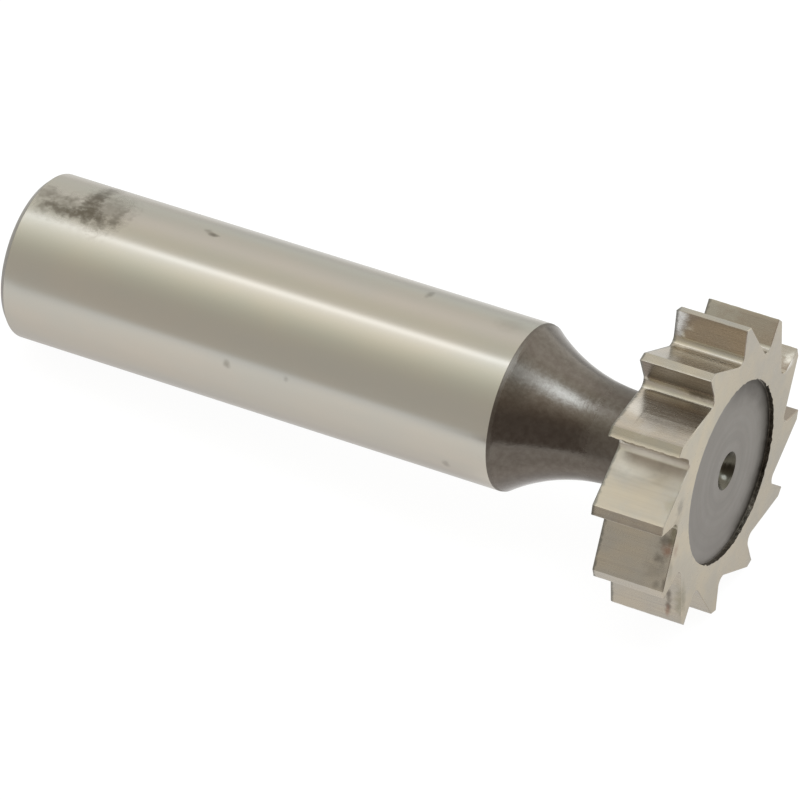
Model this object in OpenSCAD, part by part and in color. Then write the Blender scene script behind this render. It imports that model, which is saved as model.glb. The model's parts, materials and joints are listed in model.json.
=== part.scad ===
// Woodruff keyseat cutter: a plain ground shank, a concave neck and a straight-toothed head,
// turned and milled from one bar of high-speed steel.
// The cutter is drawn along +Z from the shank's end to the head's end face, and is then laid down
// as it comes to rest: on the shank's rear rim and on the rear corners of two neighbouring teeth.
// The head points to +X, the floor is z = 0 and the origin is under the middle of the cutter.

/* [Overall] */
// Length from the shank's end to the head's end face
overall_l = 57.15; // [50:0.05:70]

/* [Shank] */
// Diameter of the ground shank
shank_d = 12.7; // [10:0.1:14]
// Length of the ground shank, from its end to the corner where the neck begins
shank_l = 40.85; // [34:0.05:43]
// Width of the 45 degree chamfer at the shank's end
end_chamfer = 0.5; // [0.2:0.1:1]
// Length of the fine edge break at the shank's front corner
edge_break_l = 0.2; // [0.1:0.05:0.4]
// Depth of the fine edge break at the shank's front corner
edge_break_d = 0.05; // [0.02:0.01:0.1]

/* [Neck] */
// Diameter of the neck where it is thinnest
neck_d = 7.1; // [6:0.1:8.5]
// Radius of the concave sweep from the shank down to the neck
neck_sweep_r = 13.75; // [10:0.25:16]
// Radius of the fillet where the neck meets the head
neck_fillet_r = 0.4; // [0.2:0.1:0.8]

/* [Head] */
// Diameter over the tooth tips
head_d = 22.9; // [20:0.1:26]
// Width of the head, which is the width of the key slot that it cuts
head_w = 5.6; // [4:0.02:7]
// Diameter of the shallow recess in the end face
recess_d = 13.9; // [11:0.1:15]
// Depth of the shallow recess in the end face
recess_depth = 0.35; // [0.2:0.05:0.8]
// Diameter of the ring-shaped relief round the neck on the head's back
back_relief_d = 13.9; // [11:0.1:15]
// Depth of the relief on the head's back
back_relief_depth = 0.2; // [0.1:0.05:0.5]

/* [Teeth] */
// Number of straight teeth
teeth = 12; // [8:4:16]
// Width of the narrow land behind each cutting edge
land_w = 0.75; // [0.4:0.05:0.9]
// Relief angle of the land
land_relief = 5; // [3:1:14]
// Depth from the tooth tips to the corner where the rake face and the tooth's back meet
gullet_depth = 2.85; // [2:0.05:3.5]
// Radius of the fillet at the bottom of each gullet
gullet_r = 0.6; // [0.3:0.05:0.8]

/* [Centre holes] */
// Diameter of the centre holes at their mouths
centre_d = 2.9; // [2:0.1:4]
// Full angle of the centre holes' cones
centre_angle = 60; // [55:1:65]
// Diameter of the pilot holes behind the cones
pilot_d = 1.2; // [0.8:0.1:1.6]
// Length of the pilot holes, without their drill points
pilot_l = 1.4; // [1:0.1:2.5]
// Full angle of the drill points that end the pilot holes
drill_angle = 118; // [110:1:130]

/* [Hidden] */
$fn = 96;
// Overlap by which a cutting shape passes the face it opens
past = 0.5;

shank_r = shank_d / 2;
neck_r = neck_d / 2;
tip_r = head_d / 2;
pitch = 360 / teeth;
head_back = overall_l - head_w;

// The neck's sweep starts at the foot of the edge break and ends tangent to the thin neck
sweep_start_r = shank_r - edge_break_d;
sweep_centre_r = neck_r + neck_sweep_r;
sweep_l = sqrt(pow(neck_sweep_r, 2) - pow(sweep_centre_r - sweep_start_r, 2));
sweep_end = shank_l + sweep_l;
neck_end = head_back + back_relief_depth;

// One tooth, seen from the head's end with its tip straight up: the rake face is radial and looks
// left, the land falls to the right to the heel, and the back runs on to the next gullet's root
tip = [0, tip_r];
heel = [land_w, tip_r - land_w * tan(land_relief)];
root_r = tip_r - gullet_depth;
root = [0, root_r];
heel_before = turned(heel, pitch);
back_dir = (heel_before - root) / norm(heel_before - root);
gullet_angle = acos(back_dir.y);
fillet_run = gullet_r / tan(gullet_angle / 2);
fillet_centre = root + [-gullet_r, fillet_run];
// A point inside the metal behind the gullet's corner, where the fillet's web is anchored
web_foot = root + [gullet_r, -gullet_r];

// At rest the floor touches a land's heel, or its tip where the relief is steep, and the next tip
rest_from = land_relief < pitch / 2 ? heel : tip;
rest_to = turned(tip, -pitch);
rest_slope = atan2(rest_from.y - rest_to.y, rest_to.x - rest_from.x);
rest_r = rest_from.x * sin(rest_slope) + rest_from.y * cos(rest_slope);
rest_tilt = atan((rest_r - shank_r) / (head_back - end_chamfer));
rest_lift = shank_r * cos(rest_tilt) - end_chamfer * sin(rest_tilt);
reach_front = overall_l * cos(rest_tilt) + rest_r * sin(rest_tilt);
reach_back = (shank_r - end_chamfer) * sin(rest_tilt);
rest_shift = (reach_front - reach_back) / 2;

// A point turned counterclockwise about the axis
function turned(p, a) = [p.x * cos(a) - p.y * sin(a), p.x * sin(a) + p.y * cos(a)];

module shank_profile() {
    polygon([
        [0, 0],
        [shank_r - end_chamfer, 0],
        [shank_r, end_chamfer],
        [shank_r, shank_l - edge_break_l],
        [sweep_start_r, shank_l],
        [0, shank_l]
    ]);
}

module neck_profile() {
    // Concave sweep down from the shank
    difference() {
        translate([0, shank_l])
            square([sweep_start_r, sweep_l]);
        translate([sweep_centre_r, sweep_end])
            circle(r = neck_sweep_r);
    }
    // Thin straight neck, which runs on into the head
    translate([0, sweep_end])
        square([neck_r, overall_l - recess_depth - sweep_end]);
    // Fillet against the head's back
    difference() {
        translate([0, neck_end - neck_fillet_r])
            square([neck_r + neck_fillet_r, neck_fillet_r]);
        translate([neck_r + neck_fillet_r, neck_end - neck_fillet_r])
            circle(r = neck_fillet_r);
    }
}

module shank_and_neck() {
    rotate_extrude() {
        shank_profile();
        neck_profile();
    }
}

// Star outline of the head, with sharp gullet corners
module sharp_outline() {
    polygon([
        for (i = [0 : teeth - 1])
            each [
                turned(tip, -i * pitch),
                turned(heel, -i * pitch),
                turned(root, -(i + 1) * pitch)
            ]
    ]);
}

// Metal left by the milling cutter's rounded corner at the bottom of one gullet
module gullet_fillet() {
    difference() {
        polygon([
            web_foot,
            root + [0, fillet_run],
            fillet_centre,
            root + fillet_run * back_dir,
            turned(web_foot, gullet_angle)
        ]);
        translate(fillet_centre)
            circle(r = gullet_r);
    }
}

module head_outline() {
    sharp_outline();
    for (i = [0 : teeth - 1])
        rotate(i * pitch)
            gullet_fillet();
}

module toothed_head() {
    difference() {
        translate([0, 0, head_back])
            linear_extrude(height = head_w)
                head_outline();
        // Shallow recess in the end face
        translate([0, 0, overall_l - recess_depth])
            cylinder(d = recess_d, h = recess_depth + past);
        // Relief round the neck on the back
        translate([0, 0, head_back - past])
            cylinder(d = back_relief_d, h = back_relief_depth + past);
    }
}

// Centre hole with its mouth at the origin, sunk along +Z
module centre_hole() {
    cone_l = (centre_d - pilot_d) / 2 / tan(centre_angle / 2);
    point_l = pilot_d / 2 / tan(drill_angle / 2);
    cone_r_past = centre_d / 2 + past * tan(centre_angle / 2);
    translate([0, 0, -past])
        cylinder(r1 = cone_r_past, d2 = pilot_d, h = cone_l + past);
    cylinder(d = pilot_d, h = cone_l + pilot_l);
    translate([0, 0, cone_l + pilot_l])
        cylinder(d1 = pilot_d, d2 = 0, h = point_l);
}

module upright_cutter() {
    difference() {
        union() {
            shank_and_neck();
            toothed_head();
        }
        centre_hole();
        translate([0, 0, overall_l - recess_depth])
            mirror([0, 0, 1])
                centre_hole();
    }
}

module keyseat_cutter() {
    color("darkgray")
        translate([-rest_shift, 0, rest_lift])
            rotate([0, 90 - rest_tilt, 0])
                rotate([0, 0, rest_slope - 90])
                    upright_cutter();
}

keyseat_cutter();
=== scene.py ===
"""Looks of the woodruff keyseat cutter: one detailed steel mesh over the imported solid, in its frame.

The mesh is built in the tool's own frame, in millimetres: Z runs along the axis from the shank's end
to the head's end face, X points down and Y sideways when the cutter lies at rest. It is one closed
skin of rings, from the drill point in the shank's end over the shank, the neck and the toothed head
to the drill point in the end face. Turns are angles from the top of the resting cutter towards the
camera's side.
"""
import json
import math

import bpy
import numpy as np
from mathutils import Matrix, Vector


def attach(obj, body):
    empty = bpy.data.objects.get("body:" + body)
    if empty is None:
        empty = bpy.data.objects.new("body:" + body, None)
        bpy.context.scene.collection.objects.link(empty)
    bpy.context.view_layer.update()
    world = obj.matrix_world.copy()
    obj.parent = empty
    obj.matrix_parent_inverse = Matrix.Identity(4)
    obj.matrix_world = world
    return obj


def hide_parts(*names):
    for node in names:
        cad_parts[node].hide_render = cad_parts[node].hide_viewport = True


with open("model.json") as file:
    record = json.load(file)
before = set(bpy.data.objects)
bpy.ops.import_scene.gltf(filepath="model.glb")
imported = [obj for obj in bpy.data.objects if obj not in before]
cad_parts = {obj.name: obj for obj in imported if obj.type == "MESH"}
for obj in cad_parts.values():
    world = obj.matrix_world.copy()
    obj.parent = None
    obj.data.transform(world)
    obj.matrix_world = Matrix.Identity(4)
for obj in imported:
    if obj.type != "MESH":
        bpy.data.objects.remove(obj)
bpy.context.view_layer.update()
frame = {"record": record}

MM = 0.001
NODE = "keyseat_cutter"

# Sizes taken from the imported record's mounts
mounts = {m["name"]: m for m in frame["record"]["mounts"]}
axis = Vector(mounts["head_centre"]["axis"]).normalized()
shank_end = Vector(mounts["shank_centre"]["pos_m"])
recess_floor_z = (Vector(mounts["head_centre"]["pos_m"]) - shank_end).length / MM
shank_r = mounts["shank"]["dims"]["r_mm"]

# Sizes that the cutter's source gives, in millimetres and degrees
shank_l = 40.85
end_chamfer = 0.5
edge_break_l = 0.2
edge_break_d = 0.05
neck_r = 7.1 / 2
neck_sweep_r = 13.75
neck_fillet_r = 0.4
tip_r = 22.9 / 2
head_w = 5.6
recess_r = 13.9 / 2
recess_depth = 0.35
back_relief_r = 13.9 / 2
back_relief_depth = 0.2
teeth = 12
land_w = 0.75
land_relief = 5
gullet_depth = 2.85
gullet_r = 0.6
centre_r = 2.9 / 2
centre_half_angle = 30
pilot_r = 1.2 / 2
pilot_l = 1.4
drill_half_angle = 59

overall_l = recess_floor_z + recess_depth
head_back = overall_l - head_w
neck_end = head_back + back_relief_depth
pitch = 360 / teeth


def tool_matrix():
    """Tool frame in millimetres to the row frame in metres."""
    side = Vector((0, 1, 0))
    down = side.cross(axis)
    turn = Matrix((down, side, axis)).transposed().to_4x4()
    return Matrix.Translation(shank_end) @ turn @ Matrix.Scale(MM, 4)


# Camera: fitted to the photograph's frame of 800 by 800 pixels

CAMERA_AIM = Vector((5.5, -8.06, 14.24)) * MM
CAMERA_DISTANCE = 497.4 * MM
CAMERA_AZIMUTH = 25.43
CAMERA_ELEVATION = 42.89
CAMERA_ROLL = -3.75
CAMERA_LENS = 313.4
CAMERA_SENSOR = 36
CAMERA_CLIP = (0.01, 10)


def make_camera():
    data = bpy.data.cameras.new("camera")
    data.lens = CAMERA_LENS
    data.sensor_width = CAMERA_SENSOR
    data.clip_start, data.clip_end = CAMERA_CLIP
    camera = bpy.data.objects.new("camera", data)
    bpy.context.scene.collection.objects.link(camera)
    azimuth, elevation = math.radians(CAMERA_AZIMUTH), math.radians(CAMERA_ELEVATION)
    back = Vector((
        math.sin(azimuth) * math.cos(elevation),
        -math.cos(azimuth) * math.cos(elevation),
        math.sin(elevation),
    ))
    look = (-back).to_track_quat("-Z", "Y").to_matrix().to_4x4()
    roll = Matrix.Rotation(math.radians(-CAMERA_ROLL), 4, "Z")
    camera.matrix_world = Matrix.Translation(CAMERA_AIM + back * CAMERA_DISTANCE) @ look @ roll
    bpy.context.scene.camera = camera


# Node helpers

def add_node(tree, kind, settings=None, **inputs):
    """Adds a node. settings are its properties, and inputs are values or sockets by the input's name,
    or by i and its number.
    """
    node = tree.nodes.new("ShaderNode" + kind)
    for name, value in (settings or {}).items():
        setattr(node, name, value)
    for name, value in inputs.items():
        socket = node.inputs[int(name[1:]) if name[0] == "i" and name[1:].isdigit() else name]
        if isinstance(value, bpy.types.NodeSocket):
            tree.links.new(value, socket)
        else:
            socket.default_value = value
    return node


def maths(tree, operation, a, b=0.0):
    return add_node(tree, "Math", {"operation": operation}, i0=a, i1=b).outputs[0]


def product(tree, a, b):
    return maths(tree, "MULTIPLY", a, b)


def multiply_add(tree, value, factor, added):
    settings = {"operation": "MULTIPLY_ADD"}
    return add_node(tree, "Math", settings, i0=value, i1=factor, i2=added).outputs[0]


def vector_math(tree, operation, a, b):
    return add_node(tree, "VectorMath", {"operation": operation}, i0=a, i1=b).outputs[0]


def length(tree, vector):
    return add_node(tree, "VectorMath", {"operation": "LENGTH"}, i0=vector).outputs["Value"]


def coordinate(tree, place, name):
    return add_node(tree, "SeparateXYZ", Vector=place).outputs[name]


def map_range(tree, value, ends, to=(0.0, 1.0)):
    """A number that goes smoothly between the two of to while value goes between the two ends."""
    node = add_node(tree, "MapRange", {"interpolation_type": "SMOOTHSTEP"}, i0=value)
    for name, number in zip(("From Min", "From Max", "To Min", "To Max"), (*ends, *to)):
        node.inputs[name].default_value = number
    return node.outputs["Result"]


def mix_colour(tree, factor, a, b, blend="MIX"):
    settings = {"data_type": "RGBA", "blend_type": blend}
    a, b = (v if isinstance(v, bpy.types.NodeSocket) else (*v, 1) for v in (a, b))
    return add_node(tree, "Mix", settings, i0=factor, i6=a, i7=b).outputs[2]


def noise(tree, vector, scale, detail=3.0, roughness=0.5):
    """Noise in tool millimetres; scale is a number of waves per millimetre along X, Y and Z."""
    mapped = vector_math(tree, "MULTIPLY", vector, scale)
    made = add_node(tree, "TexNoise", Vector=mapped, Scale=1.0, Detail=detail, Roughness=roughness)
    return made.outputs[0]


# Stage: a pale lit table, and a card just above it that only reflections see

TABLE_HALF = 2.0
TABLE_COLOUR = (0.1, 0.1, 0.1)
TABLE_GLOW = 0.94
CARD_HALF = 1.5
CARD_LIFT = 0.0002
# The table as the steel reflects it, by distance behind the cutter in millimetres: dark beyond the
# front edge of the lit part, dimmer under the cutter and a little behind it
CARD_RANGE = 120
CARD_SWEEP = (
    (-120, (0.645, 0.62, 0.575)),
    (-58, (0.66, 0.64, 0.60)),
    (-40, (0.98, 1.02, 1.06)),
    (-24, (1.06, 1.06, 1.05)),
    (-11, (0.97, 0.95, 0.93)),
    (-6.5, (0.84, 0.82, 0.80)),
    (-4.5, (0.70, 0.68, 0.67)),
    (-1, (0.70, 0.69, 0.68)),
    (4, (0.80, 0.79, 0.78)),
    (16, (0.825, 0.82, 0.80)),
    (22, (0.84, 0.835, 0.81)),
    (27, (0.91, 0.90, 0.89)),
    (36, (0.89, 0.885, 0.87)),
    (49, (0.83, 0.82, 0.79)),
    (77, (0.735, 0.735, 0.715)),
)
CARD_TOP = 1.2
# In front of the neck and the head the table is darker beyond the edge of its lit part: where the
# darker side begins along the cutter, and where that edge lies across it, in millimetres
DARK_FRONT = (0.34, 0.30, 0.27)
DARK_FRONT_FROM = (-8, 2)
DARK_FRONT_EDGE = (-33, -42)
# Under the thin neck the table is less dim: where it brightens along the cutter from either side,
# where the dim strip begins across it, and how much brighter it is there
NECK_LIGHT_LEFT, NECK_LIGHT_RIGHT = (7, 13), (26, 22)
NECK_LIGHT_ACROSS = (-12, -7)
NECK_LIGHT_GAIN = 1.28


def plane(name, half, height, material):
    mesh = bpy.data.meshes.new(name)
    corners = [(-half, -half), (half, -half), (half, half), (-half, half)]
    mesh.from_pydata([(x, y, height) for x, y in corners], [], [(0, 1, 2, 3)])
    mesh.materials.append(material)
    made = bpy.data.objects.new(name, mesh)
    bpy.context.scene.collection.objects.link(made)
    return made


def table_material():
    material = bpy.data.materials.new("lit_table")
    material.use_nodes = True
    shader = material.node_tree.nodes["Principled BSDF"]
    shader.inputs["Base Color"].default_value = (*TABLE_COLOUR, 1)
    shader.inputs["Roughness"].default_value = 1.0
    shader.inputs["Specular IOR Level"].default_value = 0.0
    shader.inputs["Emission Color"].default_value = (1, 1, 1, 1)
    shader.inputs["Emission Strength"].default_value = TABLE_GLOW
    return material


def shares(colour, top):
    return tuple(c / top for c in colour)


def sweep_ramp(tree, share, sweep, top, reach):
    """Colour ramp over stops (number, colour) from -reach to reach, with the colours as shares of top,
    because ramps hold values up to 1.
    """
    ramp = add_node(tree, "ValToRGB", Fac=share)
    stops = ramp.color_ramp.elements
    while len(stops) < len(sweep):
        stops.new(1.0)
    for stop, (number, colour) in zip(stops, sweep):
        stop.position = (number + reach) / (2 * reach)
        stop.color = (*shares(colour, top), 1)
    return ramp.outputs["Color"]


def metres(pair):
    return tuple(v * MM for v in pair)


def card_material():
    material = bpy.data.materials.new("reflected_table")
    material.use_nodes = True
    tree = material.node_tree
    tree.nodes.remove(tree.nodes["Principled BSDF"])
    split = add_node(tree, "SeparateXYZ", Vector=add_node(tree, "NewGeometry").outputs["Position"])
    along, across = split.outputs["X"], split.outputs["Y"]
    share = multiply_add(tree, across, 0.5 / (CARD_RANGE * MM), 0.5)
    colour = sweep_ramp(tree, share, CARD_SWEEP, CARD_TOP, CARD_RANGE)
    to_head = map_range(tree, along, metres(DARK_FRONT_FROM))
    far = map_range(tree, across, metres(DARK_FRONT_EDGE))
    dark = product(tree, to_head, far)
    colour = mix_colour(tree, dark, colour, shares(DARK_FRONT, CARD_TOP))
    left = map_range(tree, along, metres(NECK_LIGHT_LEFT))
    right = map_range(tree, along, metres(NECK_LIGHT_RIGHT))
    light = product(tree, left, right)
    light = product(tree, light, map_range(tree, across, metres(NECK_LIGHT_ACROSS)))
    gained = mix_colour(tree, 1.0, colour, (NECK_LIGHT_GAIN,) * 3, "MULTIPLY")
    colour = mix_colour(tree, light, colour, gained)
    glow = add_node(tree, "Emission", Color=colour, Strength=CARD_TOP)
    tree.links.new(glow.outputs[0], tree.nodes["Material Output"].inputs["Surface"])
    return material


def make_stage():
    plane("table", TABLE_HALF, 0.0, table_material())
    card = plane("reflected_table", CARD_HALF, CARD_LIFT, card_material())
    for ray in ("camera", "diffuse", "shadow", "transmission", "volume_scatter"):
        setattr(card, "visible_" + ray, False)


# The studio's light round the cutter's axis, by the angle from straight up towards the front in
# degrees. LEFT_SWEEP holds for what lies to the shank's side, RIGHT_SWEEP for the head's side.
LEFT_SWEEP = (
    (-180, (0.76, 0.76, 0.76)),
    (-95, (0.77, 0.77, 0.77)),
    (-88, (0.83, 0.855, 0.82)),
    (-68, (0.865, 0.86, 0.815)),
    (-46, (1.01, 0.98, 0.95)),
    (-24, (0.885, 0.87, 0.78)),
    (-9, (0.90, 0.89, 0.82)),
    (-5.5, (1.42, 1.45, 1.45)),
    (-4, (2.15, 2.2, 2.3)),
    (0, (2.15, 2.2, 2.3)),
    (2, (1.44, 1.46, 1.44)),
    (14, (1.24, 1.23, 1.12)),
    (26, (0.98, 0.98, 0.87)),
    (40, (0.76, 0.755, 0.67)),
    (56, (0.66, 0.64, 0.58)),
    (72, (0.645, 0.62, 0.575)),
    (180, (0.645, 0.62, 0.575)),
)
RIGHT_SWEEP = (
    (-180, (1.0, 1.0, 1.0)),
    (-108, (1.55, 1.54, 1.50)),
    (-92, (1.45, 1.45, 1.40)),
    (-70, (1.32, 1.32, 1.25)),
    (-45, (1.46, 1.44, 1.40)),
    (-22, (1.29, 1.28, 1.17)),
    (-9, (1.26, 1.28, 1.21)),
    (6, (1.26, 1.28, 1.21)),
    (18, (1.22, 1.18, 1.06)),
    (30, (0.85, 0.79, 0.69)),
    (46, (0.47, 0.41, 0.35)),
    (64, DARK_FRONT),
    (100, DARK_FRONT),
    (180, DARK_FRONT),
)
SWEEP_TOP = 2.5
# The two sides meet between these parts of the direction along X
SIDES_MEET = (-0.30, -0.02)
# Far on the head's side the upper part is dimmer, from and to these parts along X and these angles
DIM_END = (0.40, 0.62)
DIM_END_ANGLE = (48, 24)
DIM_END_GAIN = 0.66
# A soft lamp nearly overhead, as the neck reflects it: its middle and half widths, in the direction's
# part along X and in degrees of the angle from straight up, how that angle changes along X, where the
# lamp ends and the colour that it adds
LAMP_X, LAMP_X_WIDTH = 0.14, 0.215
LAMP_ANGLE, LAMP_ANGLE_WIDTH = 0.2, 8.6
LAMP_LEAN = -14.0
LAMP_LEFT_END = (-0.16, -0.06)
LAMP_GLOW = (4.15, 5.0, 5.9)


def lamp_share(tree, along, angle):
    """How bright the lamp is in a direction, from 0 to 1: a bell across and a softer fall along."""
    off_x = maths(tree, "DIVIDE", maths(tree, "SUBTRACT", along, LAMP_X), LAMP_X_WIDTH)
    lean = product(tree, off_x, math.radians(LAMP_LEAN * LAMP_X_WIDTH))
    off_angle = maths(tree, "SUBTRACT", angle, lean)
    off_angle = maths(tree, "SUBTRACT", off_angle, math.radians(LAMP_ANGLE))
    off_angle = maths(tree, "DIVIDE", off_angle, math.radians(LAMP_ANGLE_WIDTH))
    bell = product(tree, maths(tree, "POWER", off_angle, 2.0), -0.5)
    fall = maths(tree, "ADD", maths(tree, "POWER", off_x, 2.0), 1.0)
    lamp = maths(tree, "DIVIDE", maths(tree, "EXPONENT", bell), fall)
    return product(tree, lamp, map_range(tree, along, LAMP_LEFT_END))


def make_world():
    world = bpy.data.worlds.new("studio")
    bpy.context.scene.world = world
    world.use_nodes = True
    tree = world.node_tree
    coords = add_node(tree, "TexCoord")
    split = add_node(tree, "SeparateXYZ", Vector=coords.outputs["Generated"])
    along = split.outputs["X"]
    front = product(tree, split.outputs["Y"], -1.0)
    angle = maths(tree, "ARCTAN2", front, split.outputs["Z"])
    share = multiply_add(tree, angle, 1 / math.tau, 0.5)
    left, right = (sweep_ramp(tree, share, s, SWEEP_TOP, 180) for s in (LEFT_SWEEP, RIGHT_SWEEP))
    far_end = map_range(tree, along, DIM_END)
    upper = map_range(tree, angle, [math.radians(v) for v in DIM_END_ANGLE])
    dimmer = mix_colour(tree, 1.0, right, (DIM_END_GAIN,) * 3, "MULTIPLY")
    right = mix_colour(tree, product(tree, far_end, upper), right, dimmer)
    colour = mix_colour(tree, map_range(tree, along, SIDES_MEET), left, right)
    lit = mix_colour(tree, 1.0, colour, shares(LAMP_GLOW, SWEEP_TOP), "ADD")
    colour = mix_colour(tree, lamp_share(tree, along, angle), colour, lit)
    background = tree.nodes["Background"]
    tree.links.new(colour, background.inputs["Color"])
    background.inputs["Strength"].default_value = SWEEP_TOP


# Materials

# Where a spot's strength ends and where it is full, as distances in half sizes plus the edge's value
CRISP, SOFT = (1.75, 1.05), (2.1, 0.5)


def usual(tree, value, low=0.0, high=1.0):
    """A number from low to high over the range where most values of a noise lie."""
    return map_range(tree, value, (0.3, 0.7), to=(low, high))


def steel(name, colour, roughness):
    """A metal material, with its tree and the surface's place in tool millimetres."""
    material = bpy.data.materials.new(name)
    material.use_nodes = True
    tree = material.node_tree
    shader = tree.nodes["Principled BSDF"]
    shader.inputs["Base Color"].default_value = (*colour, 1)
    shader.inputs["Metallic"].default_value = 1.0
    shader.inputs["Roughness"].default_value = roughness
    place = add_node(tree, "Attribute", {"attribute_name": "tool_mm"}).outputs["Vector"]
    return material, tree, place


def dress(material, colour, roughness, height, depth_mm):
    """Gives the material its colour, its roughness, where that varies, and a bump of this depth."""
    tree = material.node_tree
    shader = tree.nodes["Principled BSDF"]
    tree.links.new(colour, shader.inputs["Base Color"])
    if roughness is not None:
        tree.links.new(roughness, shader.inputs["Roughness"])
    bump = add_node(tree, "Bump", Height=height, Distance=depth_mm * MM, Strength=1.0)
    tree.links.new(bump.outputs[0], shader.inputs["Normal"])
    return material


def painted_lit(tree, colour):
    """The colour made brighter or darker by the painted light and shade that the mesh carries."""
    painted_light = add_node(tree, "Attribute", {"attribute_name": "painted_light"}).outputs["Fac"]
    grey = add_node(tree, "CombineXYZ", X=painted_light, Y=painted_light, Z=painted_light).outputs[0]
    return mix_colour(tree, 1.0, colour, grey, "MULTIPLY")


def spot(tree, place, at, size, edge, reach=SOFT):
    """1 inside an ellipsoid and 0 outside, with an edge made uneven by the value edge, about 0 to 1."""
    offset = vector_math(tree, "SUBTRACT", place, at)
    share = vector_math(tree, "MULTIPLY", offset, tuple(1 / s for s in size))
    return map_range(tree, maths(tree, "ADD", length(tree, share), edge), reach)


def stains_and_painted_light(tree, place, colour, patches, edge, reach=SOFT):
    """The colour under stains and painted light and shade, given as (place in tool millimetres, half
    sizes, strength, colour).
    """
    for at, size, strength, patch_colour in patches:
        made = product(tree, spot(tree, place, at, size, edge, reach), strength)
        colour = mix_colour(tree, made, colour, patch_colour)
    return colour


def shank_spots(tree, place, spots, edge):
    """How much of the shank is covered by spots: (along, turn, half length, half width, strength)."""
    clear = None
    for along, turn, half_l, half_w, strength in spots:
        t = math.radians(turn)
        at = (-shank_r * math.cos(t), -shank_r * math.sin(t), along)
        made = spot(tree, place, at, (half_w, half_w, half_l), edge)
        left = multiply_add(tree, made, -strength, 1.0)
        clear = left if clear is None else product(tree, clear, left)
    return maths(tree, "SUBTRACT", 1.0, clear)


# Stain near the shank's end, as in the photograph
STAIN_SPOTS = (
    (5.05, -29, 0.59, 0.71, 0.33),
    (4.95, -22, 0.59, 0.89, 0.4),
    (4.85, -15, 0.59, 0.89, 0.55),
    (4.7, -8, 0.65, 0.89, 0.73),
    (4.8, -1, 0.59, 0.71, 0.66),
    (5, 5, 0.71, 0.65, 0.77),
    (5.4, 8.8, 1, 0.53, 0.85),
    (4.5, 10.8, 0.94, 0.5, 0.71),
    (3.5, 12, 0.83, 0.42, 0.85),
    (2.6, 12.3, 0.59, 0.42, 0.68),
    (2.05, 9.6, 0.41, 0.35, 0.66),
    (1.5, 13.2, 0.53, 0.47, 0.55),
    (5.2, 13.8, 0.47, 0.35, 0.55),
    (6.3, 12.8, 0.65, 0.5, 0.57),
    (6.5, -1, 1.47, 1.77, 0.4),
    (7.25, 4, 0.41, 1.06, 0.41),
    (7.3, 9.2, 0.41, 0.41, 0.5),
    (1.2, 1, 0.83, 0.71, 0.5),
    (3.1, 0.3, 0.45, 0.35, 0.46),
    (3.4, 6, 1.65, 0.71, 0.33),
    (5.6, 1, 1.9, 1.9, 0.2),
    (2.6, 8, 1.7, 1.2, 0.22),
)
PITS = (
    (14.6, -8.2, 0.38, 0.22, 0.75),
    (14.0, -11, 0.25, 0.18, 0.4),
    (32.0, -18, 0.22, 0.5, 0.5),
    (19.4, 80, 0.24, 0.3, 0.4),
    (37.2, 108, 0.25, 0.32, 0.35),
    (24.3, 77, 0.16, 0.22, 0.25),
    (39.0, -11, 1.0, 0.7, 0.14),
)
STAIN = (0.125, 0.108, 0.082)
# How much the stain adds to the roughness, how uneven a pit's edge is beside the stain's, and how
# deep a pit is beside the grinding marks
STAIN_ROUGH = 0.2
PIT_EDGE = 0.7
PIT_DEPTH = 3.0
# The shank is duller towards its end: from and to these places along it, and its roughness there
DULL_END = (15, 0)
DULL_END_ROUGH = (0.19, 0.26)


def ground_shank():
    material, tree, place = steel("ground_shank", (0.485, 0.458, 0.405), 0.2)
    cold, warm = (0.472, 0.454, 0.405), (0.498, 0.463, 0.403)
    rings = noise(tree, place, (0.12, 0.12, 9.0), detail=4.0, roughness=0.7)
    cloud = noise(tree, place, (0.25, 0.25, 0.12))
    mottle = noise(tree, place, (2.4, 2.4, 2.2), detail=5.0, roughness=0.6)
    edge = map_range(tree, mottle, (0.28, 0.72), to=(0.1, 0.76))
    dark = shank_spots(tree, place, STAIN_SPOTS, edge)
    pits = shank_spots(tree, place, PITS, product(tree, edge, PIT_EDGE))
    colour = mix_colour(tree, usual(tree, cloud), cold, warm)
    colour = mix_colour(tree, dark, colour, STAIN)
    colour = mix_colour(tree, pits, colour, STAIN)
    clean = map_range(tree, coordinate(tree, place, "Z"), DULL_END, to=DULL_END_ROUGH)
    rough = multiply_add(tree, dark, STAIN_ROUGH, clean)
    height = maths(tree, "SUBTRACT", rings, product(tree, pits, PIT_DEPTH))
    return dress(material, colour, rough, height, depth_mm=0.003)


# The turned end's grooves: radians of their wave in a millimetre of radius
END_GROOVES = 42.0


def turned_end():
    material, tree, place = steel("turned_end", (0.45, 0.43, 0.385), 0.3)
    bright, dull = (0.46, 0.44, 0.395), (0.36, 0.335, 0.29)
    grooves = maths(tree, "SINE", product(tree, length(tree, place), END_GROOVES))
    cloud = noise(tree, place, (1.2, 1.2, 1.2), detail=4.0, roughness=0.6)
    colour = mix_colour(tree, map_range(tree, cloud, (0.3, 0.75)), bright, dull)
    return dress(material, colour, usual(tree, cloud, 0.25, 0.38), grooves, depth_mm=0.004)


def dull_chamfer():
    material, tree, place = steel("dull_chamfer", (0.30, 0.285, 0.255), 0.32)
    dark, light = (0.27, 0.255, 0.225), (0.34, 0.325, 0.295)
    nicks = noise(tree, place, (2.5, 2.5, 1.0), detail=4.0, roughness=0.65)
    colour = mix_colour(tree, usual(tree, nicks), dark, light)
    return dress(material, colour, usual(tree, nicks, 0.28, 0.4), nicks, depth_mm=0.006)


# The black neck is duller towards the head and at the corner with the shank: from and to these places
# along it, and by how much
DULL_TO_HEAD, DULL_TO_HEAD_ROUGH = (shank_l + 5.55, shank_l + 6.95), 0.16
DULL_TO_SHANK, DULL_TO_SHANK_ROUGH = (shank_l + 0.15, shank_l), 0.22
# How much the neck's mottle is raised beside its turning marks
MOTTLE_HEIGHT = 1.5


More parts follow.
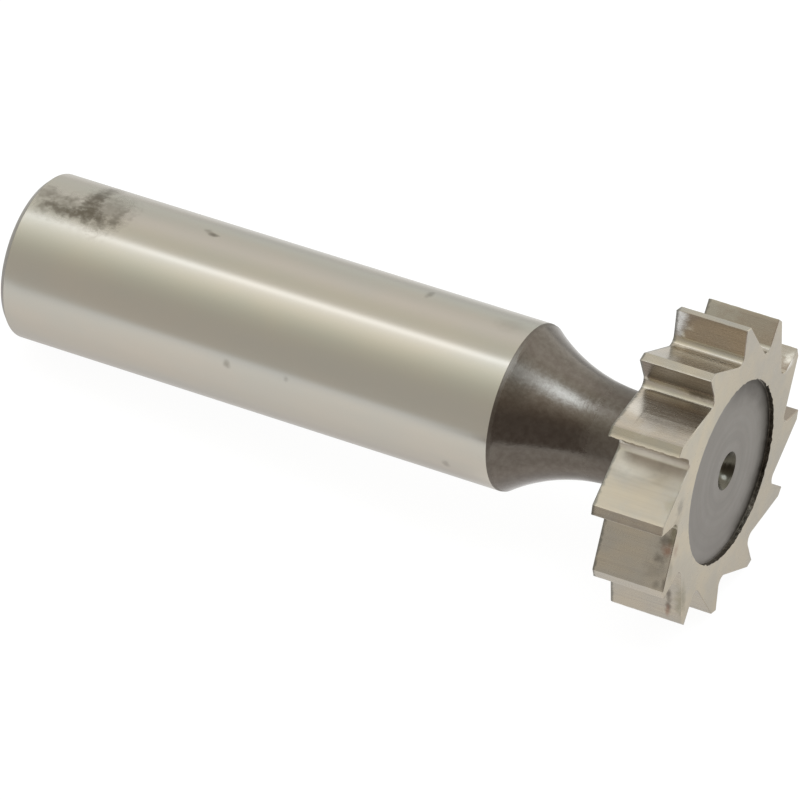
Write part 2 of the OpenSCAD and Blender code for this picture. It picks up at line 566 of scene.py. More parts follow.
def black_oxide():
    material, tree, place = steel("black_oxide", (0.125, 0.108, 0.092), 0.2)
    dark, light = (0.112, 0.095, 0.08), (0.142, 0.125, 0.107)
    turning = noise(tree, place, (0.5, 0.5, 6.0), detail=4.0, roughness=0.65)
    mottle = noise(tree, place, (2.2, 2.2, 2.2), detail=5.0, roughness=0.65)
    colour = mix_colour(tree, usual(tree, mottle), dark, light)
    along = coordinate(tree, place, "Z")
    near_head = map_range(tree, along, DULL_TO_HEAD, to=(0.0, DULL_TO_HEAD_ROUGH))
    near_shank = map_range(tree, along, DULL_TO_SHANK, to=(0.0, DULL_TO_SHANK_ROUGH))
    duller = maths(tree, "ADD", near_head, near_shank)
    rough = maths(tree, "ADD", usual(tree, mottle, 0.13, 0.21), duller)
    height = maths(tree, "ADD", turning, product(tree, mottle, MOTTLE_HEIGHT))
    return dress(material, colour, rough, height, depth_mm=0.008)


OLIVE = (0.20, 0.185, 0.12)
# A dark colour for dirt, and for the painted shade in a gullet's fillet
GRIME_AND_SHADE = (0.125, 0.108, 0.088)
RUST = (0.30, 0.165, 0.115)
EDGE_GREY = (0.155, 0.155, 0.14)
TAN = (0.47, 0.39, 0.29)
PALE = (0.60, 0.575, 0.53)
BRIGHT = (0.80, 0.77, 0.71)
WARM = (0.50, 0.45, 0.35)
# Dirt on the end face and, as the last one, a chip in a gullet on the far side as a painted highlight
FACE_STAINS_AND_HIGHLIGHT = (
    ((-3.05, -8.2, 57.15), (0.55, 0.5, 0.3), 0.42, GRIME_AND_SHADE),
    ((-2.0, -8.9, 57.15), (0.5, 0.4, 0.3), 0.3, GRIME_AND_SHADE),
    ((0.2, -9.0, 57.15), (0.5, 0.3, 0.3), 0.4, RUST),
    ((1.3, -9.9, 57.15), (1.0, 0.3, 0.3), 0.3, OLIVE),
    ((5.7, -8.0, 57.15), (1.2, 0.4, 0.3), 0.5, OLIVE),
    # The chip, painted bright as a highlight
    ((-2.75, 9.6, 57.13), (0.3, 0.6, 0.3), 1.0, BRIGHT),
)
# Painted light: the end face is painted brighter towards the camera's side: from and to these places
# across, from and to these shares of the gain
PAINTED_FRONT_LIGHT = (1.27, 1.26, 1.21)
PAINTED_LIGHT_ACROSS, PAINTED_LIGHT_SHARE = (5.0, -7.0), (0.1, 1.0)


def ground_side():
    material, tree, place = steel("ground_side", (0.46, 0.42, 0.35), 0.32)
    cold, warm = (0.43, 0.40, 0.345), (0.48, 0.43, 0.345)
    cloud = noise(tree, place, (0.5, 0.5, 0.5), detail=4.0, roughness=0.55)
    mottle = noise(tree, place, (2.6, 2.6, 2.6), detail=4.0, roughness=0.65)
    marks = noise(tree, place, (7.0, 1.2, 1.0), detail=4.0, roughness=0.7)
    colour = mix_colour(tree, map_range(tree, cloud, (0.32, 0.68)), cold, warm)
    # Painted light: the end face is made brighter towards the camera's side
    brighter = mix_colour(tree, 1.0, colour, PAINTED_FRONT_LIGHT, "MULTIPLY")
    front = map_range(tree, coordinate(tree, place, "Y"), PAINTED_LIGHT_ACROSS, to=PAINTED_LIGHT_SHARE)
    colour = mix_colour(tree, front, colour, brighter)
    edge = map_range(tree, mottle, (0.25, 0.75), to=(0.0, 0.8))
    # Dirt, and the painted highlight at the chip
    colour = stains_and_painted_light(tree, place, colour, FACE_STAINS_AND_HIGHLIGHT, edge)
    return dress(material, colour, usual(tree, marks, 0.27, 0.38), marks, depth_mm=0.004)


# Grime along the teeth's rear edges: from and to these distances from the head's back, how uneven
# that is and how strong the grime is
REAR_GRIME = (0.30, 0.08)
REAR_UNEVEN = 0.08
REAR_STRENGTH = 0.75


def dark_rear_edge(tree, place, colour):
    """The colour with the uneven dark line along the rear edges of the teeth."""
    mottle = noise(tree, place, (2.6, 2.6, 2.6), detail=4.0, roughness=0.65)
    uneven = usual(tree, mottle, -REAR_UNEVEN, REAR_UNEVEN)
    along = maths(tree, "ADD", coordinate(tree, place, "Z"), uneven)
    rear = map_range(tree, along, [head_back + v for v in REAR_GRIME], to=(0.0, REAR_STRENGTH))
    return mix_colour(tree, rear, colour, EDGE_GREY)


# Dirt and wear on the lower visible teeth, as in the photograph, and as the last one painted shade in a
# fillet
BACK_STAINS_AND_SHADE = (
    ((-1.0, -8.95, 57.0), (0.9, 0.7, 0.35), 0.75, OLIVE),
    ((-0.55, -9.26, 56.5), (0.5, 0.5, 0.4), 0.6, GRIME_AND_SHADE),
    ((-0.3, -9.4, 56.5), (1.2, 0.9, 0.6), 0.14, GRIME_AND_SHADE),
    ((-0.05, -9.55, 56.75), (0.4, 0.4, 0.4), 0.65, RUST),
    ((0.55, -9.95, 56.3), (0.3, 0.3, 0.45), 0.55, GRIME_AND_SHADE),
    ((1.35, -10.4, 56.2), (0.6, 0.5, 0.7), 0.25, GRIME_AND_SHADE),
    ((2.15, -10.9, 56.5), (0.3, 0.3, 0.25), 0.4, GRIME_AND_SHADE),
    ((2.05, -10.85, 57.05), (0.4, 0.4, 0.15), 0.5, GRIME_AND_SHADE),
    ((-4.2, -9.4, 57.0), (0.5, 0.5, 0.4), 0.4, OLIVE),
    ((5.35, -8.33, 56.2), (0.55, 0.4, 0.22), 0.6, GRIME_AND_SHADE),
    ((5.95, -8.34, 56.18), (0.9, 0.4, 0.17), 0.45, GRIME_AND_SHADE),
    ((6.55, -8.34, 56.15), (0.5, 0.4, 0.22), 0.7, GRIME_AND_SHADE),
    ((6.85, -8.34, 56.12), (0.45, 0.4, 0.18), 0.42, RUST),
    ((5.7, -8.33, 57.05), (1.2, 0.4, 0.32), 0.5, OLIVE),
    ((-4.0, -9.7, 55.0), (1.7, 1.4, 2.6), 0.3, TAN),
    ((-8.35, -6.7, 54.0), (0.9, 0.9, 0.6), 0.5, PALE),
    ((8.9, -4.4, 56.0), (2.6, 2.0, 2.6), 0.9, WARM),
    ((-8.34, -5.7, 52.95), (0.5, 0.9, 0.08), 0.35, GRIME_AND_SHADE),
    # Painted shade: darkens the fillet at the foot of a gullet
    ((-8.85, -2.68, 56.0), (0.25, 0.25, 1.0), 0.7, GRIME_AND_SHADE),
)
# Places where the photo's dark reflections on two backs are weaker, with smoother edges
BRIGHT_PLACES = (
    ((-8.34, -4.6, 53.0), (0.6, 1.3, 1.1), 0.75, BRIGHT),
    ((-8.32, -5.2, 54.4), (0.6, 0.8, 2.6), 1.0, BRIGHT),
    ((-5.6, -6.8, 54.0), (0.7, 0.9, 1.8), 0.75, BRIGHT),
    ((-5.3, -7.3, 56.3), (0.8, 0.8, 1.0), 0.6, BRIGHT),
    ((-5.15, -7.65, 53.6), (0.65, 0.7, 1.5), 0.75, BRIGHT),
)
# The fifth visible tooth's back is duller than the others: its place and half sizes, the value of its
# edge and how much rougher it is
DULL_BACK, DULL_BACK_SIZE = (-4.6, -8.6, 55.2), (2.2, 2.4, 5.0)
DULL_BACK_EDGE, DULL_BACK_ROUGH = 0.3, 0.16
# How high the finest milling marks are beside the wider strokes
FINE_HEIGHT = 0.35


def milled_back():
    material, tree, place = steel("milled_back", (0.445, 0.41, 0.35), 0.22)
    cold, warm, scored = (0.425, 0.398, 0.352), (0.475, 0.423, 0.345), (0.36, 0.33, 0.285)
    strokes = noise(tree, place, (5.0, 5.0, 0.15), detail=5.0, roughness=0.7)
    fine = noise(tree, place, (16.0, 16.0, 0.4), roughness=0.7)
    cloud = noise(tree, place, (0.6, 0.6, 0.35))
    mottle = noise(tree, place, (2.4, 2.4, 2.4))
    colour = mix_colour(tree, usual(tree, cloud), cold, warm)
    colour = mix_colour(tree, map_range(tree, strokes, (0.4, 0.75), to=(0.0, 0.25)), colour, scored)
    smooth_edge = usual(tree, mottle, 0.32, 0.48)
    rough_edge = usual(tree, mottle, 0.1, 0.7)
    colour = stains_and_painted_light(tree, place, painted_lit(tree, colour), BRIGHT_PLACES, smooth_edge)
    colour = stains_and_painted_light(tree, place, colour, BACK_STAINS_AND_SHADE, rough_edge)
    colour = dark_rear_edge(tree, place, colour)
    dull = spot(tree, place, DULL_BACK, DULL_BACK_SIZE, DULL_BACK_EDGE)
    milled = usual(tree, strokes, 0.21, 0.31)
    rough = multiply_add(tree, dull, DULL_BACK_ROUGH, milled)
    height = multiply_add(tree, fine, FINE_HEIGHT, strokes)
    return dress(material, colour, rough, height, depth_mm=0.0028)


# A painted highlight at the worn rear end of the second tooth's rake face, rakes painted paler on two
# others, and the chip at the foot of one of these, painted bright as a highlight
RAKE_LIGHT_AND_CHIP = (
    # Painted highlight, bluish white like the lamp
    ((-10.2, 2.45, head_back + 0.2), (1.2, 1.0, 0.72), 1.0, (0.95, 0.97, 0.98)),
    ((-7.8, 7.4, head_back + 0.7), (1.6, 1.6, 1.7), 0.75, (0.45, 0.425, 0.375)),
    ((-7.2, 6.9, 54.5), (2.2, 2.2, 3.5), 0.3, (0.40, 0.39, 0.34)),
    ((-3.1, 10.6, 55.5), (1.6, 1.6, 4.0), 0.9, (0.43, 0.40, 0.35)),
    ((-2.95, 9.9, 57.0), (0.4, 0.5, 0.35), 1.0, BRIGHT),
)


def rake():
    material, tree, place = steel("rake_face", (0.33, 0.275, 0.225), 0.26)
    light, dark = (0.34, 0.288, 0.238), (0.312, 0.26, 0.212)
    strokes = noise(tree, place, (5.0, 5.0, 0.2), detail=5.0, roughness=0.7)
    cloud = noise(tree, place, (1.6, 1.6, 1.2), roughness=0.55)
    colour = mix_colour(tree, usual(tree, strokes), light, dark)
    edge = usual(tree, cloud, 0.1, 0.9)
    # Painted highlights and rakes painted paler
    colour = stains_and_painted_light(tree, place, painted_lit(tree, colour), RAKE_LIGHT_AND_CHIP, edge)
    colour = dark_rear_edge(tree, place, colour)
    return dress(material, colour, usual(tree, strokes, 0.2, 0.32), strokes, depth_mm=0.003)


# Painted shade on the recess's floor, darker towards the wall and away from the camera: its colour, its
# width, how uneven and how strong it is, and from and to which places across it sets in
FLOOR_SHADE = (0.06, 0.052, 0.042)
FLOOR_SHADE_WIDTH = 2.3
FLOOR_SHADE_UNEVEN = 0.15
FLOOR_SHADE_STRENGTH = 0.85
FLOOR_SHADE_ACROSS = (-1.0, 3.0)


def floor_shade(tree, place, radius, cloud):
    """How much painted shade lies on the recess's floor."""
    uneven = usual(tree, cloud, -FLOOR_SHADE_UNEVEN, FLOOR_SHADE_UNEVEN)
    ends = (recess_r - FLOOR_SHADE_WIDTH, recess_r)
    near_wall = map_range(tree, maths(tree, "ADD", radius, uneven), ends, to=(0.0, FLOOR_SHADE_STRENGTH))
    far_side = map_range(tree, coordinate(tree, place, "Y"), FLOOR_SHADE_ACROSS)
    return product(tree, near_wall, far_side)


def recess_floor():
    material, tree, place = steel("recess_floor", (0.28, 0.265, 0.245), 0.45)
    dark, light = (0.24, 0.227, 0.212), (0.316, 0.299, 0.277)
    pale_ring, dull = (0.34, 0.32, 0.3), (0.255, 0.236, 0.218)
    radius = length(tree, vector_math(tree, "MULTIPLY", place, (1, 1, 0)))
    along_radius = add_node(tree, "CombineXYZ", X=radius).outputs[0]
    grooves = noise(tree, along_radius, (2.6, 0, 0), detail=5.0, roughness=0.7)
    rings = noise(tree, along_radius, (0.9, 0, 0), detail=2.0)
    cloud = noise(tree, place, (0.7, 0.7, 0.7), detail=4.0, roughness=0.6)
    colour = mix_colour(tree, usual(tree, grooves), dark, light)
    colour = mix_colour(tree, map_range(tree, rings, (0.4, 0.6), to=(0.0, 0.4)), colour, pale_ring)
    colour = mix_colour(tree, usual(tree, cloud, 0.0, 0.4), colour, dull)
    # Painted shade towards the wall
    colour = mix_colour(tree, floor_shade(tree, place, radius, cloud), colour, FLOOR_SHADE)
    return dress(material, colour, usual(tree, grooves, 0.4, 0.52), grooves, depth_mm=0.012)


# The recess's wall is clean at the top: from and to these places down the cutter
CLEAN_WALL = (-2.8, -4.4)


# The wall's near-black colour is partly oxide and partly painted shade.
def recess_wall():
    material, tree, place = steel("recess_wall", (0.055, 0.047, 0.037), 0.5)
    dark, chipped, clean = (0.066, 0.056, 0.044), (0.15, 0.133, 0.108), (0.33, 0.31, 0.275)
    chips = noise(tree, place, (4.0, 4.0, 4.0), detail=4.0, roughness=0.7)
    colour = mix_colour(tree, map_range(tree, chips, (0.45, 0.75)), dark, chipped)
    colour = mix_colour(tree, map_range(tree, coordinate(tree, place, "X"), CLEAN_WALL), colour, clean)
    return dress(material, colour, None, chips, depth_mm=0.03)


# Painted shade in the centre hole's dark inside and a painted highlight at its lower edge, as in
# the photograph
HOLE_SHADE_AND_HIGHLIGHT = (
    ((0.86, 0.9, 56.45), (0.56, 0.68, 0.6), 1.0, (0.045, 0.04, 0.03)),
    ((1.12, 0.42, 56.33), (0.22, 0.22, 0.24), 0.8, (0.28, 0.27, 0.235)),
)


def dark_hole():
    material, tree, place = steel("centre_hole", (0.10, 0.09, 0.075), 0.3)
    dark, light = (0.095, 0.09, 0.07), (0.11, 0.10, 0.08)
    chatter = noise(tree, place, (0.6, 0.6, 8.0), roughness=0.6)
    colour = mix_colour(tree, usual(tree, chatter), dark, light)
    edge = usual(tree, chatter, 0.35, 0.65)
    # Painted shade inside the hole and a painted highlight at its lower edge
    colour = stains_and_painted_light(tree, place, colour, HOLE_SHADE_AND_HIGHLIGHT, edge, CRISP)
    return dress(material, colour, usual(tree, chatter, 0.22, 0.4), chatter, depth_mm=0.01)


# Geometry: every ring of the skin has the same columns, one set for each tooth

TIP_STEPS = 2
RAKE_STEPS = 6
FILLET_STEPS = 8
BACK_STEPS = 13
LAND_STEPS = 3
TOOTH_PARTS = (TIP_STEPS, RAKE_STEPS, FILLET_STEPS, BACK_STEPS, LAND_STEPS)
TOOTH_STEPS = sum(TOOTH_PARTS)
COLUMNS = teeth * TOOTH_STEPS
# Rounding of the cutting edges, and how near the middle of it comes to the sharp tip
TIP_ROUND = 0.03
TIP_PULL = 0.6
EDGE_ROUND = 0.05
HEAD_RINGS = 27
# A ring inside the teeth's roots where the outline's columns have spread out, and how far the columns
# of the tip, the rake's foot, the back's foot, the heel and the next tip lie from the tip's angle
SPREAD_R = tip_r - gullet_depth - 0.35
SPREAD_COLUMNS = np.cumsum([0, TIP_STEPS + RAKE_STEPS, FILLET_STEPS, BACK_STEPS, LAND_STEPS])
SPREAD_ANGLES = (-4.0, -0.3, 6.3, 22.0, 26.0)
EVEN_LEAN = -5.5


def turned(point, degrees):
    a = math.radians(degrees)
    x, y = point
    return np.array([x * math.cos(a) - y * math.sin(a), x * math.sin(a) + y * math.cos(a)])


def between(a, b, count):
    """Points from a towards b, a included and b left out."""
    share = np.arange(count)[:, None] / count
    return np.asarray(a) * (1 - share) + np.asarray(b) * share


# One tooth as in the source: seen from the head's end with its tip straight up
tip = np.array([0, tip_r])
heel = np.array([land_w, tip_r - land_w * math.tan(math.radians(land_relief))])
root = np.array([0, tip_r - gullet_depth])
resting_tip = turned(tip, -pitch)
first_tip = math.degrees(math.atan2(heel[1] - resting_tip[1], resting_tip[0] - heel[0]))


def tooth_outline():
    """One pitch of the head's outline, counterclockwise from the end of the land."""
    next_heel = turned(heel, pitch)
    back_dir = (next_heel - root) / np.linalg.norm(next_heel - root)
    gullet_angle = math.acos(back_dir[1])
    run = gullet_r / math.tan(gullet_angle / 2)
    centre = root + [-gullet_r, run]
    land_dir = (heel - tip) / np.linalg.norm(heel - tip)
    land_end, rake_start = tip + land_dir * TIP_ROUND, tip - [0, TIP_ROUND]
    tip_middle = (land_end + rake_start) / 2 * (1 - TIP_PULL) + tip * TIP_PULL
    rake_foot, back_foot = root + [0, run], root + back_dir * run
    arc = np.arange(FILLET_STEPS) / FILLET_STEPS * (math.pi - gullet_angle)
    fillet = centre + gullet_r * np.column_stack([np.cos(arc), -np.sin(arc)])
    return np.vstack([
        land_end,
        tip_middle,
        between(rake_start, rake_foot, RAKE_STEPS),
        fillet,
        between(back_foot, next_heel, BACK_STEPS),
        between(next_heel, turned(land_end, pitch), LAND_STEPS),
    ])


def head_outline():
    one = tooth_outline()
    return np.vstack([
        [turned(point, first_tip - 90 + i * pitch) for point in one]
        for i in range(teeth)
    ])


def inset(outline, depth):
    """The outline moved inwards by depth, its corners mitred."""
    ahead = np.roll(outline, -1, axis=0) - outline
    left = np.column_stack([-ahead[:, 1], ahead[:, 0]])
    left /= np.linalg.norm(left, axis=1)[:, None]
    before = np.roll(left, 1, axis=0)
    mitre = (left + before) / (1 + (left * before).sum(axis=1))[:, None]
    return outline + mitre * depth


def flat_ring(points, z):
    return np.column_stack([points, np.full(len(points), z)])


def round_ring(radius, z, angles=None):
    if angles is None:
        angles = first_tip + EVEN_LEAN + np.arange(COLUMNS) * 360 / COLUMNS
    a = np.radians(angles)
    return np.column_stack([radius * np.cos(a), radius * np.sin(a), np.broadcast_to(z, COLUMNS)])


def spread_ring(z):
    one = np.interp(np.arange(TOOTH_STEPS), SPREAD_COLUMNS, SPREAD_ANGLES)
    angles = np.concatenate([first_tip + i * pitch + one for i in range(teeth)])
    return round_ring(SPREAD_R, z, angles)


def slerp(a, b, share, radius):
    """The point at a share of the arc from a to b, both at this radius from the origin."""
    angle = math.acos(np.clip(a @ b / radius ** 2, -1, 1))
    return (a * math.sin((1 - share) * angle) + b * math.sin(share * angle)) / math.sin(angle)


def rounded_path(corners):
    """Profile points (zone that follows, radius, z) from corners given alike. A corner with two more
    numbers is rounded: how far the arc reaches, and its steps.
    """
    path = []
    for i, (zone, r, z, *rounding) in enumerate(corners):
        here = np.array([r, z], float)
        if not rounding:
            path.append((zone, *here))
            continue
        size, steps = rounding
        before = np.array(corners[i - 1][1:3]) - here
        after = np.array(corners[i + 1][1:3]) - here
        before, after = before / np.linalg.norm(before), after / np.linalg.norm(after)
        half = math.acos(np.clip(before @ after, -1, 1)) / 2
        start, end = here + before * size, here + after * size
        centre = here + (before + after) / (2 * math.cos(half)) * size / math.cos(half)
        radius = size * math.tan(half)
        for step in range(steps + 1):
            point = centre + slerp(start - centre, end - centre, step / steps, radius)
            path.append((zone if 2 * step >= steps else corners[i - 1][0], *point))
    return path


def arc_points(zone, centre, radius, start, end, steps):
    """Points of an arc in the profile plane, (radius, z) centre and angles in degrees, ends left out."""
    angles = np.radians(np.linspace(start, end, steps + 1)[1:-1])
    return [(zone, centre[0] + radius * math.cos(a), centre[1] + radius * math.sin(a)) for a in angles]


# Roundings of the profile's corners: how far each reaches from its corner, and its steps
HOLE_ROUND = (0.05, 2)
CHAMFER_ROUND = (0.06, 3)
BREAK_ROUND = (0.03, 2)
RELIEF_ROUND = (0.05, 2)
RECESS_ROUND = (0.08, 3)
# Rings between the corners: radii on the shank's end, in the back's relief and on the recess's floor,
# and how far the shank's first and last ring lie from its ends
END_RINGS = (3.0, 4.5)
RELIEF_RING = 5.4
FLOOR_RINGS = (5.6, 4.2, 2.8)
SHANK_MARGINS = (2, 1.5)
SHANK_RINGS = 20
SWEEP_STEPS = 30
NECK_FILLET_STEPS = 8
# A ring about half way down a centre hole's cone: its shares of the mouth's radius and of the depth
CONE_RING_R, CONE_RING_DEPTH = 0.7, 0.51


def centre_hole_path(zone, face_z, inward):
    """From the drill point out to the hole's mouth; inward is the direction of the hole along Z."""
    cone_l = (centre_r - pilot_r) / math.tan(math.radians(centre_half_angle))
    point_l = pilot_r / math.tan(math.radians(drill_half_angle))
    bottom = face_z + inward * (cone_l + pilot_l)
    return [
        (zone, 0.0, bottom + inward * point_l),
        (zone, pilot_r / 2, bottom + inward * point_l / 2),
        (zone, pilot_r, bottom, *HOLE_ROUND),
        (zone, pilot_r, face_z + inward * cone_l, *HOLE_ROUND),
        (zone, centre_r * CONE_RING_R, face_z + inward * cone_l * CONE_RING_DEPTH),
    ]


def neck_path():
    """Profile from the shank's edge break to the neck's foot in the relief on the head's back."""
    start_r = shank_r - edge_break_d
    sweep_centre_r = neck_r + neck_sweep_r
    sweep_l = math.sqrt(neck_sweep_r ** 2 - (sweep_centre_r - start_r) ** 2)
    sweep_end = shank_l + sweep_l
    sweep_from = math.degrees(math.atan2(-sweep_l, start_r - sweep_centre_r)) % 360
    fillet_centre = (neck_r + neck_fillet_r, neck_end - neck_fillet_r)
    return (
        [("neck", shank_r, shank_l - edge_break_l, *BREAK_ROUND), ("neck", start_r, shank_l)]
        + arc_points("neck", (sweep_centre_r, sweep_end), neck_sweep_r, sweep_from, 180, SWEEP_STEPS)
        + [("neck", neck_r, sweep_end), ("neck", neck_r, neck_end - neck_fillet_r)]
        + arc_points("neck", fillet_centre, neck_fillet_r, 180, 90, NECK_FILLET_STEPS)
    )


def shank_path():
    """Profile from the drill point in the shank's end to the rim of the relief on the head's back."""
    chamfer_r = shank_r - end_chamfer
    first, last = SHANK_MARGINS
    return (
        centre_hole_path("hole", 0, 1)
        + [("end", centre_r, 0, *HOLE_ROUND)]
        + [("end", r, 0) for r in END_RINGS]
        + [("chamfer", chamfer_r, 0, *CHAMFER_ROUND), ("shank", shank_r, end_chamfer, *CHAMFER_ROUND)]
        + [("shank", shank_r, z) for z in np.linspace(first, shank_l - last, SHANK_RINGS)]
        + neck_path()
        + [("relief", neck_r + neck_fillet_r, neck_end), ("relief", RELIEF_RING, neck_end)]
        + [("relief", back_relief_r, neck_end, *RELIEF_ROUND)]
    )


def face_path():
    """Profile from the recess's wall in the end face in to the drill point."""
    floor_z = overall_l - recess_depth
    hole = centre_hole_path("hole", floor_z, -1)
    return (
        [("floor", recess_r, floor_z, *RECESS_ROUND)]
        + [("floor", r, floor_z) for r in FLOOR_RINGS]
        + [("hole", centre_r, floor_z, *HOLE_ROUND)]
        + hole[::-1]
    )


# Wear of the photograph's teeth: 0 is the first below the head's end, and they run on towards the
# camera's side. It begins at a height above the gullets' roots. A blunt rear corner has its
# millimetres off the tip and along the tooth.
WEAR_FROM = 0.2
EDGE_WEAR, EDGE_WEAR_WAVE = 0.012, 1.7
BLUNT_CORNERS = {4: (0.04, 0.3), 5: (0.05, 0.35), 6: (0.12, 0.5), 7: (0.08, 0.4)}
# The burr on one tooth's edge: how far it leans out, its mean share and swing, how long its waves are,
# and the share of each column from the tooth's first one
BURR_TOOTH = 7
BURR_OUT = 0.09
BURR_MEAN, BURR_SWING, BURR_WAVE = 0.5, 0.6, 0.8
BURR_COLUMNS = ((-1, 0.2), (0, 0.7), (1, 1.0), (2, 1.0), (3, 0.6), (4, 0.3))
# The burr's tip is partly burnished and partly a painted highlight: how much brighter it is painted
BURR_HIGHLIGHT = 1.7
# Painted light and shade on single teeth: how much brighter than their material their surfaces are
# in the photograph, for the rake face, the fillet at its foot, the back that rises to the tooth, and its
# land
TOOTH_LIGHT_AND_SHADE = {
    3: (1.1, 1.0, 1.0, 1.0),
    4: (1.1, 1.0, 1.0, 1.0),
    5: (0.98, 1.0, 1.0, 1.0),
    6: (0.58, 1.15, 1.25, 1.04),
    7: (1.3, 1.3, 1.12, 0.9),
    8: (1.0, 1.0, 0.92, 1.0),
    10: (1.0, 1.0, 0.92, 0.92),
}
PLAIN_TONES = (1.0,) * 4
# A smooth curve adds up waves, each with a second, shorter one, and stays within about OCTAVES_SUM
OCTAVES = (1.0, 0.5, 0.25)
SECOND_RATIO, SECOND_SHARE = 0.618, 0.5
OCTAVES_SUM = 2.6
WEAR_SEED, RIM_SEED = 7, 11


def smooth_noise(random, places, wave):
    """A seeded smooth curve of about -1 to 1 along places, with waves about so long."""
    total = np.zeros(len(places))
    for octave in OCTAVES:
        phase = random.uniform(0, math.tau, 2)
        total += octave * np.sin(math.tau * places / (wave * octave) + phase[0])
        second = math.tau * places / (wave * octave * SECOND_RATIO) + phase[1]
        total += octave * SECOND_SHARE * np.sin(second)
    return total / OCTAVES_SUM


def corner_loss(tooth, z):
    """Millimetres that a blunted rear corner takes off a tooth's tip at height z."""
    if tooth not in BLUNT_CORNERS:
        return 0.0
    depth, reach = BLUNT_CORNERS[tooth]
    share = np.clip(1 - (z - head_back) / reach, 0, 1)
    return depth * (1 - math.sqrt(1 - share ** 2))


def worn_outlines(outline, heights):
    """The outline at each height across the head, with blunted corners, a burr and small wear."""
    random = np.random.default_rng(WEAR_SEED)
    lowest = tip_r - gullet_depth + WEAR_FROM
    edge_wear = [EDGE_WEAR * (1 + smooth_noise(random, heights, EDGE_WEAR_WAVE)) for _ in range(teeth)]
    burr = BURR_OUT * (BURR_MEAN + BURR_SWING * smooth_noise(random, heights, BURR_WAVE))
    radius = np.linalg.norm(outline, axis=1)
    tooth = (np.arange(COLUMNS) + LAND_STEPS + BACK_STEPS) // TOOTH_STEPS % teeth
    rings = []
    for level, z in enumerate(heights):
        lost = np.array([edge_wear[i][level] + corner_loss(i, z) for i in range(teeth)])
        squash = 1 - lost[tooth] / (tip_r - lowest)
        worn = np.where(radius > lowest, lowest + (radius - lowest) * squash, radius)
        points = outline * (worn / radius)[:, None]
        for column, share in BURR_COLUMNS:
            point = points[BURR_TOOTH * TOOTH_STEPS + column]
            ahead = np.array([-point[1], point[0]]) / np.linalg.norm(point)
            points[BURR_TOOTH * TOOTH_STEPS + column] = point + ahead * burr[level] * share
        rings.append(flat_ring(points, z))
    return rings


# How rough the rim of the recess is, and the waves round it with their shares
RIM_ROUGH = 0.052
RIM_WAVES = ((5, 0.3), (11, 0.4), (19, 0.5), (31, 0.7), (47, 0.8), (67, 0.8), (83, 0.5))
# How that changes from side to side, by its turn, mean and swing, and in places all round, by their
# number, mean and swing
RIM_SIDE, RIM_SIDE_MEAN, RIM_SIDE_SWING = 160, 0.6, 0.4
RIM_PLACES, RIM_PLACES_MEAN, RIM_PLACES_SWING = 7, 0.7, 0.3
# A torn place in the rim: its turn, its half width in degrees and how far it reaches out
RIM_NOTCH = (-149.5, 2.0, 0.16)
# How far the recess's wall is hollowed half way down
WALL_HOLLOW = 0.02


def ragged_rim():
    """Radii of the rim of the recess, torn a little unevenly by the turning tool."""
    random = np.random.default_rng(RIM_SEED)
    turn = np.arange(COLUMNS) / COLUMNS
    rough = np.zeros(COLUMNS)
    for waves, weight in RIM_WAVES:
        rough += weight * np.sin(math.tau * (turn * waves + random.uniform()))
    at, width, reach = RIM_NOTCH
    angle = first_tip + EVEN_LEAN + turn * 360 - 180
    off = (angle - at + 180) % 360 - 180
    rough *= RIM_SIDE_MEAN + RIM_SIDE_SWING * np.sin(np.radians(angle - RIM_SIDE))
    places = np.sin(math.tau * (turn * RIM_PLACES + random.uniform()))
    rough *= RIM_PLACES_MEAN + RIM_PLACES_SWING * places
    return recess_r + RIM_ROUGH * rough + reach * np.exp(-(off / width) ** 2)


def skin():
    """All rings from pole to pole and, for each ring, the zone of the band that follows it."""
    rings, bands = [], []

    def add(zone, ring):
        rings.append(ring)
        bands.append(zone)

    for zone, r, z in rounded_path(shank_path() + [("relief", back_relief_r, head_back)])[:-1]:
        add(zone, round_ring(r, z))
    add("back_side", round_ring(back_relief_r, head_back))
    add("back_side", spread_ring(head_back))
    heights = np.linspace(head_back + EDGE_ROUND, overall_l - EDGE_ROUND, HEAD_RINGS)
    worn = worn_outlines(head_outline(), heights)
    add("teeth", flat_ring(inset(worn[0][:, :2], EDGE_ROUND), head_back))
    for ring in worn:
        add("teeth", ring)
    add("side", flat_ring(inset(worn[-1][:, :2], EDGE_ROUND), overall_l))
    add("side", spread_ring(overall_l))
    add("side", round_ring((SPREAD_R + recess_r) / 2, overall_l))
    rim = ragged_rim()
    hollowed = rim * 0.5 + recess_r * 0.5 - WALL_HOLLOW
    add("wall", round_ring(rim, overall_l))
    add("wall", round_ring(hollowed, overall_l - recess_depth / 2))
    for zone, r, z in rounded_path([("wall", recess_r, overall_l)] + face_path())[1:]:
        add(zone, round_ring(r, z))
    return rings, bands


def by_part(*values):
    """A value for each column of one tooth, from the values of its parts."""
    return [value for value, steps in zip(values, TOOTH_PARTS) for _ in range(steps)]


def tooth_zones():
    """Zone of each column across the teeth."""
    return by_part("land", "rake", "back", "back", "land") * teeth


def tooth_painted_light():
    """Painted light and shade of each column across the teeth. A tooth's columns run on to the back of
    the next.
    """
    tones = []
    for i in range(teeth):
        rake_tone, fillet_tone, _, tip_tone = TOOTH_LIGHT_AND_SHADE.get(i, PLAIN_TONES)
        _, _, back_tone, land_tone = TOOTH_LIGHT_AND_SHADE.get((i + 1) % teeth, PLAIN_TONES)
        tones += by_part(tip_tone, rake_tone, fillet_tone, back_tone, land_tone)
    # The burr's painted highlight
    burr = BURR_TOOTH * TOOTH_STEPS
    tones[burr:burr + TIP_STEPS + 1] = [BURR_HIGHLIGHT] * (TIP_STEPS + 1)
    return tones


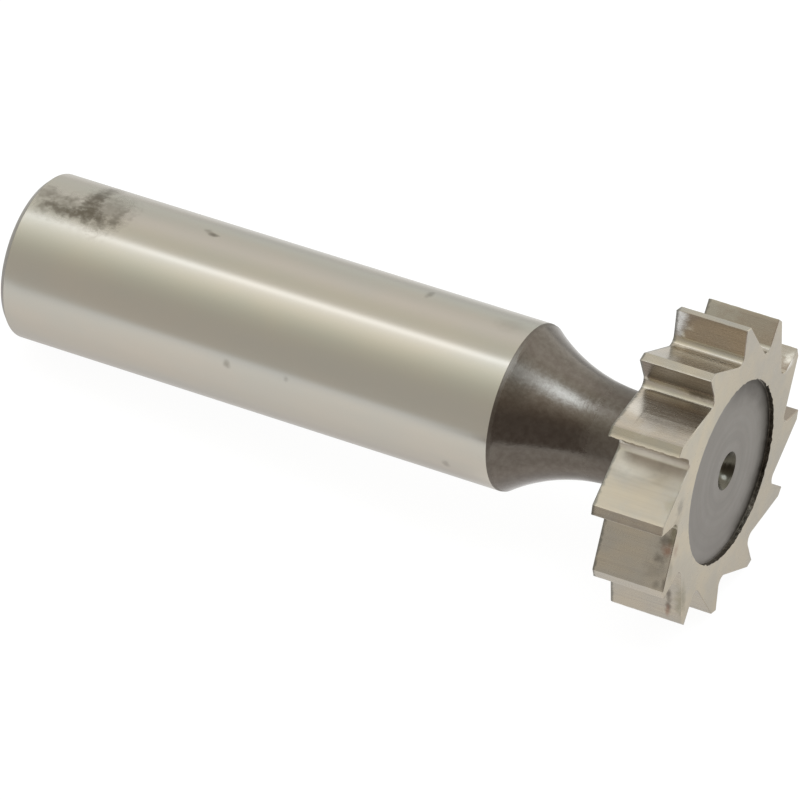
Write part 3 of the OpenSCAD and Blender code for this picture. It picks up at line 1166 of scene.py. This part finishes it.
def skin_faces(levels, bands):
    """Faces of the closed skin and their zones: a fan at each pole and the bands between the levels."""
    columns = [(a, (a + 1) % COLUMNS) for a in range(COLUMNS)]
    faces = [(0, 1 + b, 1 + a) for a, b in columns]
    for level in range(levels - 1):
        low, high = 1 + level * COLUMNS, 1 + (level + 1) * COLUMNS
        faces += [(low + a, low + b, high + b, high + a) for a, b in columns]
    low, pole = 1 + (levels - 1) * COLUMNS, 1 + levels * COLUMNS
    faces += [(low + a, low + b, pole) for a, b in columns]
    zones = []
    for band in bands[:-1]:
        zones += tooth_zones() if band == "teeth" else [band] * COLUMNS
    return faces, zones


def follows_teeth(ring):
    """Whether a ring has the teeth's outline: its radius then varies by more than a millimetre."""
    return np.ptp(np.hypot(ring[:, 0], ring[:, 1])) > 1


SHARP_ANGLE = 28


def build_cutter(materials):
    """The cutter's mesh, which also carries each point's place in tool millimetres and its painted light
    and shade.
    """
    rings, bands = skin()
    middle = rings[1:-1]
    points = np.vstack([rings[0][:1]] + middle + [rings[-1][:1]])
    faces, zones = skin_faces(len(middle), bands)
    mesh = bpy.data.meshes.new("cutter")
    to_row = tool_matrix()
    mesh.from_pydata([to_row @ Vector(p) for p in points], [], faces)
    place = mesh.attributes.new("tool_mm", "FLOAT_VECTOR", "POINT")
    place.data.foreach_set("vector", points.astype(np.float32).ravel())
    # Painted light and shade of the teeth, as a factor on their colour
    tones = [tooth_painted_light() if follows_teeth(ring) else [1.0] * COLUMNS for ring in middle]
    tones = np.concatenate([[1.0], *tones, [1.0]]).astype(np.float32)
    mesh.attributes.new("painted_light", "FLOAT", "POINT").data.foreach_set("value", tones)
    for material in materials.values():
        mesh.materials.append(material)
    names = list(materials)
    slots = np.array([names.index(zone) for zone in zones], dtype=np.int32)
    mesh.polygons.foreach_set("material_index", slots)
    mesh.polygons.foreach_set("use_smooth", np.ones(len(faces), dtype=bool))
    mesh.set_sharp_from_angle(angle=math.radians(SHARP_ANGLE))
    mesh.update()
    cutter = bpy.data.objects.new("cutter", mesh)
    bpy.context.scene.collection.objects.link(cutter)
    return cutter


def make_materials():
    """The material of each zone of the skin, in the order of the mesh's slots."""
    side, back = ground_side(), milled_back()
    return {
        "shank": ground_shank(), "end": turned_end(), "chamfer": dull_chamfer(), "neck": black_oxide(),
        "relief": side, "side": side, "rake": rake(), "back": back, "land": back,
        "floor": recess_floor(), "wall": recess_wall(), "hole": dark_hole(), "back_side": side,
    }


make_camera()
make_stage()
make_world()
bpy.context.scene.view_settings.view_transform = "Standard"

cutter = build_cutter(make_materials())
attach(cutter, "root")
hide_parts(NODE)
